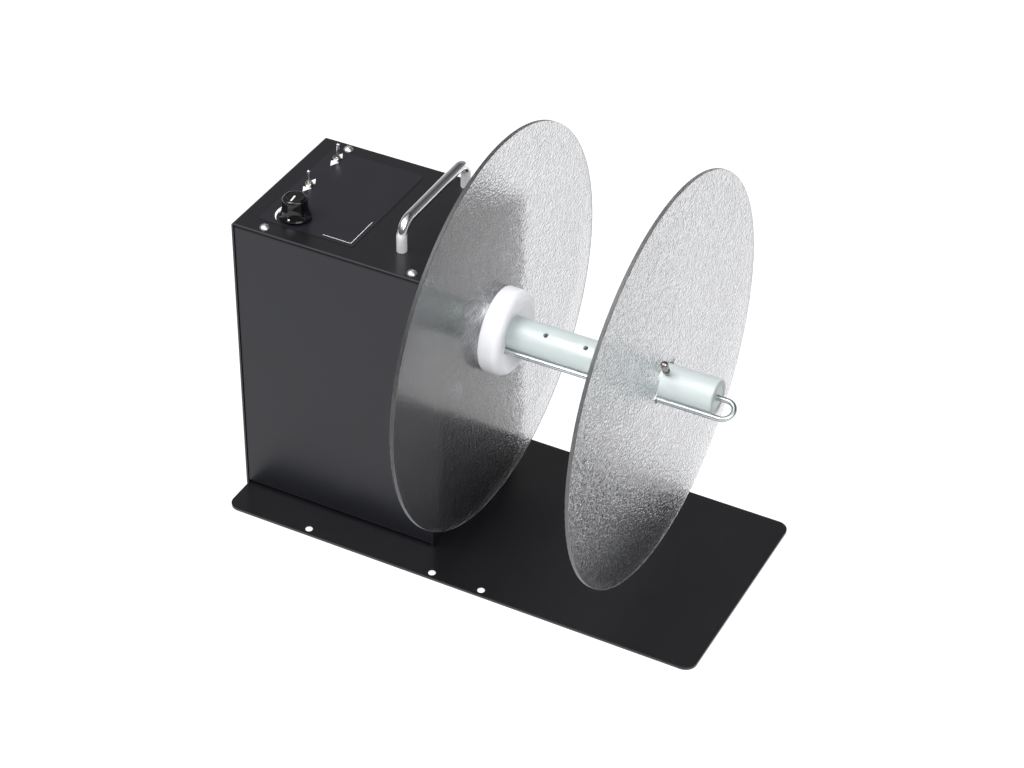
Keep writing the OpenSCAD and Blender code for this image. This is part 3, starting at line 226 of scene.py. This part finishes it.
def powder_coat(name, shade, gloss, shine, peel_depth, holes=()):
    paint = Paint(name)
    wide = paint.noise(14.0, detail=4.0)
    peel = paint.noise(1300.0, detail=2.0)
    plan = paint.add("CombineXYZ", inputs={"X": paint.axis("X"), "Y": paint.axis("Y")})
    bare = 0.0
    for middle in holes:
        away = paint.add("VectorMath", {"operation": "DISTANCE"}, {0: plan, 1: middle}, "Value")
        bare = bare + (away < (bench_hole_r + bright_edge) * mm)
    coat = paint.tint(wide, *shades(shade, 0.82, 1.18))
    return paint.close(
        Base_Color=paint.tint(bare, coat, (0.85, 0.85, 0.86)),
        Metallic=bare,
        Roughness=between(wide, gloss - 0.03, gloss + 0.05),
        Specular_IOR_Level=shine,
        Normal=paint.bump(peel, peel_depth * mm),
    )


finishes = {
    "powder_black": powder_coat("powder_black", (0.0038, 0.0038, 0.0055), 0.33, 0.66, 0.01, bench_holes),
    "panel_black": powder_coat("panel_black", (0.0052, 0.0056, 0.0105), 0.36, 0.45, 0.016),
}
print("bench holes:", [round(x / mm, 1) for x, _, _ in bench_holes])


# %% [markdown]
# ## Plain metals
# Chrome, steel, aluminium and brass differ in colour, in how sharp they mirror, and in the marks
# of the tool that made them. Stretched noise gives those marks: along the bar for drawn stock,
# even all round for plated parts. The handle is one bent bar, and the lowest part of its legs
# carries a painted highlight: below a height its finish fades from chrome to a pale, dull, less
# metallic one, so the leg ends look lit. A second solid for the legs would show a seam there.


# %% Metals
highlight_blend, leg_highlight_tall = 3.0, 13.0


def bare_metal(name, shade, gloss, stretch=(1, 1, 1), grain=240.0, depth=0.004, highlight_below=None):
    """Metal, turned pale and dull below a height where one is given, as a painted highlight."""
    paint = Paint(name)
    # painted highlight: below the given height the metal fades to a pale, less metallic, rougher finish so
    # it looks lit
    painted_highlight = 0.0
    if highlight_below is not None:
        painted_highlight = paint.fade(paint.axis("Z"), highlight_below + highlight_blend * mm, highlight_below)
    wide = paint.noise(60.0, detail=3.0)
    marks = paint.noise(grain, stretch, detail=3.0)
    return paint.close(
        Base_Color=paint.tint(marks, *shades(shade, 0.9, 1.06)),
        Metallic=painted_highlight * -0.7 + 1.0,
        Roughness=between(wide * 0.6 + marks * 0.4, gloss * 0.75, gloss * 1.25) + painted_highlight * 0.3,
        Normal=paint.bump(marks, depth * mm),
    )


along_spindle = (0.03, 1.0, 1.0)
chrome_shade = (0.86, 0.86, 0.88)
# height up to which the handle's legs carry the painted highlight
leg_top = cover_high.z + leg_highlight_tall * mm
finishes.update(
    chrome=bare_metal("chrome", chrome_shade, 0.06, depth=0.001),
    chrome_bar=bare_metal("chrome_bar", chrome_shade, 0.06, depth=0.001, highlight_below=leg_top),
    satin=bare_metal("satin", (0.6, 0.6, 0.62), 0.36),
    stainless=bare_metal("stainless", (0.62, 0.66, 0.67), 0.27, along_spindle, 900.0, 0.001),
    steel=bare_metal("steel", (0.56, 0.57, 0.59), 0.3, along_spindle, 700.0),
    aluminium=bare_metal("aluminium", (0.72, 0.73, 0.74), 0.34, (1.0, 0.2, 0.2), 500.0),
    brass=bare_metal("brass", (0.72, 0.56, 0.27), 0.28),
    dark_nickel=bare_metal("dark_nickel", (0.4, 0.375, 0.35), 0.12),
    # painted shade: a darker grey for the end cap, whose end face lies in shade
    end_grey=bare_metal("end_grey", (0.47, 0.52, 0.52), 0.5),
    laminate=bare_metal("laminate", (0.16, 0.16, 0.17), 0.55, (1.0, 1.0, 0.05), 900.0, 0.02),
    winding=bare_metal("winding", (0.62, 0.3, 0.09), 0.35, (0.05, 0.05, 1.0), 1500.0, 0.03),
)

# %% [markdown]
# ## The anodised spindle tube
# Satin anodising scatters light, so the tube shows one broad soft highlight and no mirror. It has
# a faint green cast. Extrusion leaves lines along it, hardly seen. The sawn end gets a painted
# shade, a darker grey because the end lies in shade, and a mask finds it by its place along the spindle.

# %% Tube
tube = Paint("tube_alu")
drawn = tube.noise(520.0, (0.02, 1.0, 1.0), detail=3.0)
cloud = tube.noise(45.0)
_, tube_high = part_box("spindle_tube")
cut_depth = 0.1
# painted shade: the tube's end ring is coloured darker because it lies in shade
shaded_cut_end = tube.axis("X") > tube_high.x - cut_depth * mm
wall_shade = tube.tint(cloud * 0.5 + drawn * 0.5, (0.52, 0.58, 0.575), (0.57, 0.62, 0.615))
finishes["tube_alu"] = tube.close(
    Base_Color=tube.tint(shaded_cut_end, wall_shade, (0.36, 0.4, 0.4)),
    Metallic=0.15,
    Roughness=between(drawn, 0.34, 0.4),
    Specular_IOR_Level=0.18,
    Normal=tube.bump(drawn, 0.002 * mm),
)


# %% [markdown]
# ## Plastics and rubber
# The knob is moulded and glossy, the printed overlay is satin, the collar is turned from white
# stock with a fine even grain, and the feet are matt rubber. One function gives them all, because
# they differ only in shade, gloss and grain.


# %% Plastics
def moulded(name, shade, gloss, grain=600.0, depth=0.01):
    paint = Paint(name)
    skin = paint.noise(grain, detail=2.0)
    wide = paint.noise(35.0)
    return paint.close(
        Base_Color=paint.tint(wide, *shades(shade, 0.88, 1.08)),
        Roughness=between(skin * 0.5 + wide * 0.5, gloss * 0.85, gloss * 1.15),
        Normal=paint.bump(skin, depth * mm),
    )


finishes.update(
    label=moulded("label", (0.0125, 0.0125, 0.0175), 0.3, 900.0, 0.004),
    white_plastic=moulded("white_plastic", (0.83, 0.835, 0.86), 0.42, 700.0, 0.006),
    black_plastic=moulded("black_plastic", (0.0035, 0.0035, 0.0045), 0.12, 500.0, 0.002),
    rubber=moulded("rubber", (0.018, 0.018, 0.018), 0.8, 900.0, 0.05),
    phenolic=moulded("phenolic", (0.28, 0.17, 0.08), 0.45),
    spider_red=moulded("spider_red", (0.45, 0.06, 0.04), 0.6),
    board_green=moulded("board_green", (0.03, 0.16, 0.06), 0.35),
    nylon=moulded("nylon", (0.75, 0.74, 0.7), 0.5),
)

# %% [markdown]
# ## The toggle switches
# A switch has a blue moulded case under the cover and a plated bush through it. One solid holds
# both, so its finish changes from plastic to metal within the cover's sheet, where no one sees it.

# %% Switch case and bush
switch = Paint("switch_blue")
grain = switch.noise(300.0)
plated_from = 1.0
bush = switch.axis("Z") > cover_high.z - plated_from * mm
case_blue = switch.tint(grain, (0.026, 0.07, 0.27), (0.034, 0.09, 0.33))
finishes["switch_blue"] = switch.close(
    Base_Color=switch.tint(bush, case_blue, (0.74, 0.7, 0.62)),
    Metallic=bush,
    Roughness=between(bush, 0.32, 0.16) + grain * 0.03,
    Normal=switch.bump(grain, 0.003 * mm),
)

# %% [markdown]
# ## The clear discs
# Each disc is clear sheet with one pebbled and one glossy face, the glossy one towards the roll.
# Light goes through and is bent by the pebbles, and at this low angle the faces also mirror a
# good share of the room. Both come from one glass-like surface. The pebbles are stretched cells
# with rounded tops, and only the pebbled face gets them, found by its place along the spindle.
# The inner disc's pebbles lie on its far side and are seen through the sheet, which makes them
# look deeper, so they are given less depth. The sheet is faintly grey, and its sawn rim is dull and
# carries a painted shade: a dark grey tint, as the edge looks dark seen through the sheet's thickness.
# Clear sheet hardly stops light, so the discs cast no shadow: a renderer would otherwise find the
# lamps behind them only by chance.

# %% Discs
pebble_size = 2.6
pebble_stretch = 0.6
pebble_depths = (0.2, 0.42)
warp_scale, warp_reach = 260.0, 2.0
rim_depth = 0.15
disc_boxes = [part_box("inner_disc"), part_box("outer_disc")]
disc_middles = [(low.x + high.x) / 2 for low, high in disc_boxes]
disc_r = (disc_boxes[0][1].z - disc_boxes[0][0].z) / 2
axle_z = (disc_boxes[0][1].z + disc_boxes[0][0].z) / 2


def pebbled_sheet(name, middle, pebbled_side, pebble_depth):
    """Clear sheet whose pebbled face looks to -X or +X, given as -1 or 1."""
    paint = Paint(name)
    sway = {"Vector": paint.place(), "Scale": warp_scale, "Detail": 2.0}
    warp = paint.add("TexNoise", inputs=sway, out="Color")
    shift = paint.add("VectorMath", {"operation": "SCALE"}, {0: warp, "Scale": warp_reach * mm})
    moved = paint.add("VectorMath", {"operation": "ADD"}, {0: paint.place(), 1: shift})
    where = paint.add("Mapping", inputs={"Vector": moved, "Scale": (1, pebble_stretch, 1)})
    grid = {"Vector": where, "Scale": 1 / (pebble_size * mm)}
    cells = paint.add("TexVoronoi", {"feature": "DISTANCE_TO_EDGE"}, grid)
    tops = paint.ramp(cells, (0.0, 0.0), (0.22, 0.6), (0.6, 1.0))
    fine = paint.noise(900.0, detail=2.0)
    hub = (middle, 0, axle_z)
    from_axle = paint.add("VectorMath", {"operation": "DISTANCE"}, {0: paint.place(), 1: hub}, "Value")
    rim = from_axle > disc_r - rim_depth * mm
    pebbled = ((paint.axis("X") - middle) * pebbled_side > 0) * (1 - rim)
    clear = paint.tint(paint.noise(20.0), (0.7, 0.703, 0.722), (0.74, 0.743, 0.762))
    return paint.close(
        # painted shade: the rim band is tinted dark grey, while its added roughness is the real dull sawn
        # edge
        Base_Color=paint.tint(rim, clear, (0.3, 0.3, 0.31)),
        Roughness=between(pebbled, 0.14, 0.08) + rim * 0.3 + fine * 0.03,
        IOR=1.49,
        Transmission_Weight=1.0,
        Normal=paint.bump((tops + fine * 0.3) * pebbled, pebble_depth * mm),
    )


disc_finishes = [
    pebbled_sheet("disc_inner", disc_middles[0], -1, pebble_depths[0]),
    pebbled_sheet("disc_outer", disc_middles[1], 1, pebble_depths[1]),
]
for disc_name in ("inner_disc", "outer_disc"):
    nodes[disc_name].visible_shadow = False

# %% [markdown]
# ## Dressing the solids
# The record says which finish each solid takes, so one loop dresses them all. A few solids then
# get a finish of their own. The outer disc has its pebbles on its other side; the end cap gets a
# darker grey that is painted shade on its end face, the handle gets chrome with a painted
# highlight on its leg ends, and the top screws and the stop screws are duller or darker than
# others of their metal.

# %% Give each solid its finish
for part in record["subparts"]:
    solid = nodes[part["node"]]
    solid.data.materials[0] = finishes.get(part["material_slot"], disc_finishes[0])
own_finish = {
    "outer_disc": disc_finishes[1],
    # painted shade: the end cap is greyed darker for its shaded end face
    "end_cap": finishes["end_grey"],
    # chrome with a painted highlight on the leg ends
    "handle": finishes["chrome_bar"],
    "top_screws": finishes["satin"],
    "stop_screw": finishes["dark_nickel"],
    "inner_stop_screw": finishes["dark_nickel"],
}
for part_name, finish in own_finish.items():
    nodes[part_name].data.materials[0] = finish
print("dressed:", len(record["subparts"]), "solids,", len(own_finish), "of them with a finish of their own")


# %% [markdown]
# ## Turning a shape on a lathe
# Many small pieces are round. A half outline, drawn as radius and height, is spun once round the
# upright. The spin ends where it began, so its last ring is merged with its first.


# %% Lathe and finished pieces
def lathe(outline, steps=96):
    """A shape spun round +Z from (radius, height) pairs in millimetres."""
    shape = bmesh.new()
    points = [shape.verts.new((r * mm, 0.0, z * mm)) for r, z in outline]
    lines = [shape.edges.new(pair) for pair in zip(points, points[1:])]
    upright = {"axis": (0, 0, 1), "cent": (0, 0, 0)}
    bmesh.ops.spin(shape, geom=points + lines, angle=math.tau, steps=steps, use_merge=True, **upright)
    bmesh.ops.remove_doubles(shape, verts=shape.verts, dist=0.001 * mm)
    bmesh.ops.recalc_face_normals(shape, faces=shape.faces)
    return shape


def finished(name, shape, material, body, slot, *stands_for, crease=35.0):
    """Makes the shape an object at the origin that rides on a body."""
    mesh = bpy.data.meshes.new(name)
    shape.to_mesh(mesh)
    shape.free()
    mesh.shade_smooth()
    mesh.set_sharp_from_angle(angle=math.radians(crease))
    mesh.materials.append(material)
    piece = bpy.data.objects.new(name, mesh)
    bpy.context.collection.objects.link(piece)
    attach(piece, body)
    if stands_for:
        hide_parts(*stands_for)
    print(name, "has", len(mesh.polygons), "faces")


# %% [markdown]
# ## The torque knob
# The real knob is one glossy moulding: a bell-shaped skirt, and above it a grip with broad
# shallow flutes for the fingers. It is spun as a plain round first. Then each point of the grip's
# wall is drawn in by a wave that runs round it, which makes the flutes without a single cut.

# %% Knob
knob_low, knob_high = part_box("torque_knob")
knob_middle = (knob_low + knob_high) / 2
knob_tall = (knob_high.z - knob_low.z) / mm
skirt_r = (knob_high.x - knob_low.x) / 2 / mm
grip_r = 9.2
pocket_r, pocket_tall = 8.0, 3.6
bore_r, bore_tall = 3.05, knob_tall - 3.0
skirt_tall, flare_tall = 0.8, 8.0
flute_count, flute_depth = 6, 0.35
wall_band = 1.8
lip_r, lip_step = 2.4, 15
foot_edge, top_dip = 0.3, 0.2


def flare_at(share):
    """Radius and height on the bell, from its foot at 0 to its neck at 1: half cone, half ellipse."""
    turn = math.radians(90 * share)
    inward = 0.5 * share + 0.5 * math.sin(turn)
    upward = 0.5 * share + 0.5 * (1 - math.cos(turn))
    return skirt_r - (skirt_r - grip_r) * inward, skirt_tall + flare_tall * upward


lip_turns = [math.radians(degrees) for degrees in range(0, 91, lip_step)]
lip_r_mid, lip_z_mid = grip_r - lip_r, knob_tall - lip_r
lip = [(lip_r_mid + lip_r * math.cos(turn), lip_z_mid + lip_r * math.sin(turn)) for turn in lip_turns]
knob_outline = [(0, bore_tall), (bore_r, bore_tall), (bore_r, pocket_tall), (pocket_r, pocket_tall)]
knob_outline += [(pocket_r, 0), (skirt_r - foot_edge, 0), (skirt_r, foot_edge), (skirt_r, skirt_tall)]
knob_outline += [flare_at(i / 10) for i in range(1, 11)] + [(grip_r, 10.0), (grip_r, 12.0)] + lip
knob_outline += [(grip_r - 3.0, knob_tall - 0.02), (grip_r - 3.4, knob_tall - top_dip)]
knob_outline += [(0, knob_tall - top_dip)]
knob = lathe(knob_outline, 144)
flute_from, flute_full = skirt_tall + flare_tall * 0.3, skirt_tall + flare_tall * 0.75
for point in knob.verts:
    reach = Vector((point.co.x, point.co.y)).length / mm
    tall = point.co.z / mm
    if reach > grip_r - wall_band and tall > flute_from:
        rise = min(1.0, (tall - flute_from) / (flute_full - flute_from))
        wave = abs(math.cos(flute_count / 2 * math.atan2(point.co.y, point.co.x)))
        drawn_in = 1 - flute_depth * rise * rise * (3 - 2 * rise) * wave / grip_r
        point.co.x *= drawn_in
        point.co.y *= drawn_in
bmesh.ops.translate(knob, verts=knob.verts, vec=(knob_middle.x, knob_middle.y, knob_low.z))
finished("knob_moulding", knob, finishes["black_plastic"], "knob", "black_plastic", "torque_knob", crease=24)

# %% [markdown]
# ## Printed marks
# The overlay carries a level wedge round the knob, small arrowheads by the switches and a thin
# corner line; the knob has a pointer line and a dot. Ink could be a mask in the overlay's finish,
# but as thin raised pieces it keeps crisp edges close up. Each mark is an outline filled as one
# face and given the thickness of ink.

# %% Ink
ink = Paint("white_ink")
speck = ink.noise(1500.0, detail=2.0)
white_ink = ink.close(
    Base_Color=ink.tint(speck, (0.78, 0.78, 0.8), (0.9, 0.9, 0.92)),
    Roughness=between(speck, 0.4, 0.5),
    Normal=ink.bump(speck, 0.003 * mm),
)
panel_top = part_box("control_label")[1].z
ink_thick = 0.04


def panel_point(right_mm, back_mm):
    """A place on the panel, from the cabinet's left and front edges."""
    return (cover_low.x + right_mm * mm, cover_low.y + back_mm * mm)


def ink_marks(outlines, level):
    """Flat outlines, each a list of (x, y) in metres, as thin raised ink on a level."""
    shape = bmesh.new()
    for outline in outlines:
        shape.faces.new([shape.verts.new((x, y, level)) for x, y in outline])
    shape.normal_update()
    down = [face for face in shape.faces if face.normal.z < 0]
    bmesh.ops.reverse_faces(shape, faces=down)
    raised = bmesh.ops.extrude_face_region(shape, geom=list(shape.faces))
    tops = [v for v in raised["geom"] if isinstance(v, bmesh.types.BMVert)]
    bmesh.ops.translate(shape, verts=tops, vec=(0, 0, ink_thick * mm))
    bmesh.ops.recalc_face_normals(shape, faces=shape.faces)
    return shape


def stroke(points, wide):
    """Quads along a line of points, joined at its corners by overlap."""
    quads = []
    for (x0, y0), (x1, y1) in zip(points, points[1:]):
        run = Vector((x1 - x0, y1 - y0)).normalized() * (wide * mm / 2)
        side = Vector((-run.y, run.x))
        x0, y0, x1, y1 = x0 - run.x, y0 - run.y, x1 + run.x, y1 + run.y
        quads.append([
            (x0 + side.x, y0 + side.y), (x0 - side.x, y0 - side.y),
            (x1 - side.x, y1 - side.y), (x1 + side.x, y1 + side.y),
        ])
    return quads


wedge_inner_r, wedge_thin_r, wedge_thick_r = 13.7, 13.9, 17.0
wedge_from, wedge_to = math.radians(222.0), math.radians(156.0)
wedge_steps = 24


def round_knob(radius, angle):
    """A place on the panel, from the knob's middle."""
    return knob_middle.x + radius * mm * math.cos(angle), knob_middle.y + radius * mm * math.sin(angle)


shares = [i / wedge_steps for i in range(wedge_steps + 1)]
turns = [between(share, wedge_from, wedge_to) for share in shares]
wedge = [round_knob(between(share, wedge_thin_r, wedge_thick_r), turn) for share, turn in zip(shares, turns)]
wedge += [round_knob(wedge_inner_r, turn) for turn in reversed(turns)]
arrowheads = [
    [panel_point(20.8, 64.0), panel_point(27.3, 64.6), panel_point(23.9, 57.9)],
    [panel_point(20.6, 70.5), panel_point(26.9, 70.5), panel_point(23.7, 76.9)],
    [panel_point(20.8, 103.5), panel_point(27.2, 103.5), panel_point(24.0, 96.7)],
    [panel_point(20.4, 109.5), panel_point(26.8, 109.5), panel_point(23.5, 115.5)],
]
corner_wide, pointer_wide = 0.4, 1.2
corner = [panel_point(64.9, 17.3), panel_point(87.6, 17.1), panel_point(87.6, 47.2)]
corner_line = stroke(corner, corner_wide)
panel_marks = ink_marks([wedge] + arrowheads + corner_line, panel_top)
finished("panel_marks", panel_marks, white_ink, "cabinet", "white_plastic")

pointer_line = stroke([panel_point(36.4, 27.4), panel_point(37.3, 19.9)], pointer_wide)
pointer = ink_marks(pointer_line, knob_high.z - top_dip * mm)
finished("knob_pointer", pointer, white_ink, "knob", "white_plastic")

# %% [markdown]
# A round dot on the bell repeats the pointer's direction for someone who stands close. It is a
# low dome, spun on the lathe, tipped to the bell's slope and set a hair into it.

# %% Knob dot
dot_r, dot_tall, dot_root = 0.8, 0.22, 0.2
dot_turn, dot_share, slope_span = math.radians(-84.8), 0.3, 0.05
dot_outline = [(0, -dot_root), (dot_r, -dot_root), (dot_r, 0), (dot_r * 0.7, dot_tall * 0.7), (0, dot_tall)]
dot = lathe(dot_outline, 32)
(near_r, near_z), (far_r, far_z) = flare_at(dot_share - slope_span), flare_at(dot_share + slope_span)
dot_reach, dot_height = flare_at(dot_share)
slope = math.atan2(far_z - near_z, near_r - far_r)
lean = Matrix.Rotation(dot_turn, 4, "Z") @ Matrix.Rotation(slope, 4, "Y")
bmesh.ops.transform(dot, matrix=lean, verts=dot.verts)
dot_spot = (*round_knob(dot_reach, dot_turn), knob_low.z + dot_height * mm)
bmesh.ops.translate(dot, verts=dot.verts, vec=dot_spot)
finished("knob_dot", dot, white_ink, "knob", "white_plastic")

# %% [markdown]
# ## Floor and light
# Catalogue pictures of black machines are taken on a lit white table, so the floor here glows
# evenly and takes no hard shadow. One large soft lamp hangs to the upper left in front and gives
# the tube its highlight. A weaker one to the right lifts the shaded faces.

# %% Stage
floor_r, floor_gap, table_glow = 6.0, 0.4, 1.12
floor_shape = bmesh.new()
bmesh.ops.create_circle(floor_shape, cap_ends=True, segments=96, radius=floor_r)
floor_mesh = bpy.data.meshes.new("floor")
floor_shape.to_mesh(floor_mesh)
floor_shape.free()
table = Paint("lit_table")
table_cloud = table.noise(3.0)
floor_mesh.materials.append(table.close(
    Base_Color=table.tint(table_cloud, (0.05, 0.05, 0.05), (0.06, 0.06, 0.06)),
    Roughness=0.9,
    Specular_IOR_Level=0.0,
    Emission_Color=table.tint(table_cloud, (0.97, 0.97, 0.97), (1.0, 1.0, 1.0)),
    Emission_Strength=table_glow,
))
floor = bpy.data.objects.new("floor", floor_mesh)
floor.location.z = -floor_gap * mm
bpy.context.collection.objects.link(floor)


lamp_aim = Vector((0.0, 0.0, 0.15))


def soft_lamp(name, direction, distance, size, power):
    """A square lamp that faces the machine from a direction."""
    lamp = bpy.data.objects.new(name, bpy.data.lights.new(name, "AREA"))
    lamp.data.shape, lamp.data.size, lamp.data.energy = "SQUARE", size, power
    toward = Vector(direction).normalized()
    lamp.location = lamp_aim + toward * distance
    lamp.rotation_euler = toward.to_track_quat("Z", "Y").to_euler()
    bpy.context.collection.objects.link(lamp)


soft_lamp("key", (-0.36, -0.36, 0.86), distance=2.2, size=1.5, power=44.0)
soft_lamp("fill", (0.9, -0.7, 1.1), distance=2.6, size=1.8, power=26.0)

# %% [markdown]
# ## The room
# Glossy black and chrome show the room more than their own colour. Towards the front and
# overhead the room is bright. Behind the machine it is bright at the table's edge and darkens
# higher up and to the right, which makes the cover's top a deep black and gives the chrome its
# dark core. Each wall is a ramp over the height of the view, from level to straight up.

# %% Room
room = Paint("room", bpy.data.worlds)
way = room.add("TexCoord", out="Generated")
across, along, up = (room.add("SeparateXYZ", inputs={0: way}, out=name) for name in "XYZ")
back_low = (0.0, 0.6), (0.13, 0.58), (0.5, 0.4), (0.6, 0.28)
back_high = (0.68, 0.15), (0.75, 0.09), (0.88, 0.35), (1.0, 1.0)
dimmer_right = 0.55
back_wall = room.ramp(up, *back_low, *back_high) * (1 - room.fade(across, -0.2, 0.35) * dimmer_right)
front_wall = room.ramp(up, (0.0, 0.15), (0.4, 0.22), (0.62, 1.0), (1.0, 1.0))
behind = room.fade(along, -0.1, 0.35)
glow = room.add("Background", inputs={"Strength": (1 - behind) * front_wall + behind * back_wall})
room.add("OutputWorld", inputs={"Surface": glow})
bpy.context.scene.world = room.owner
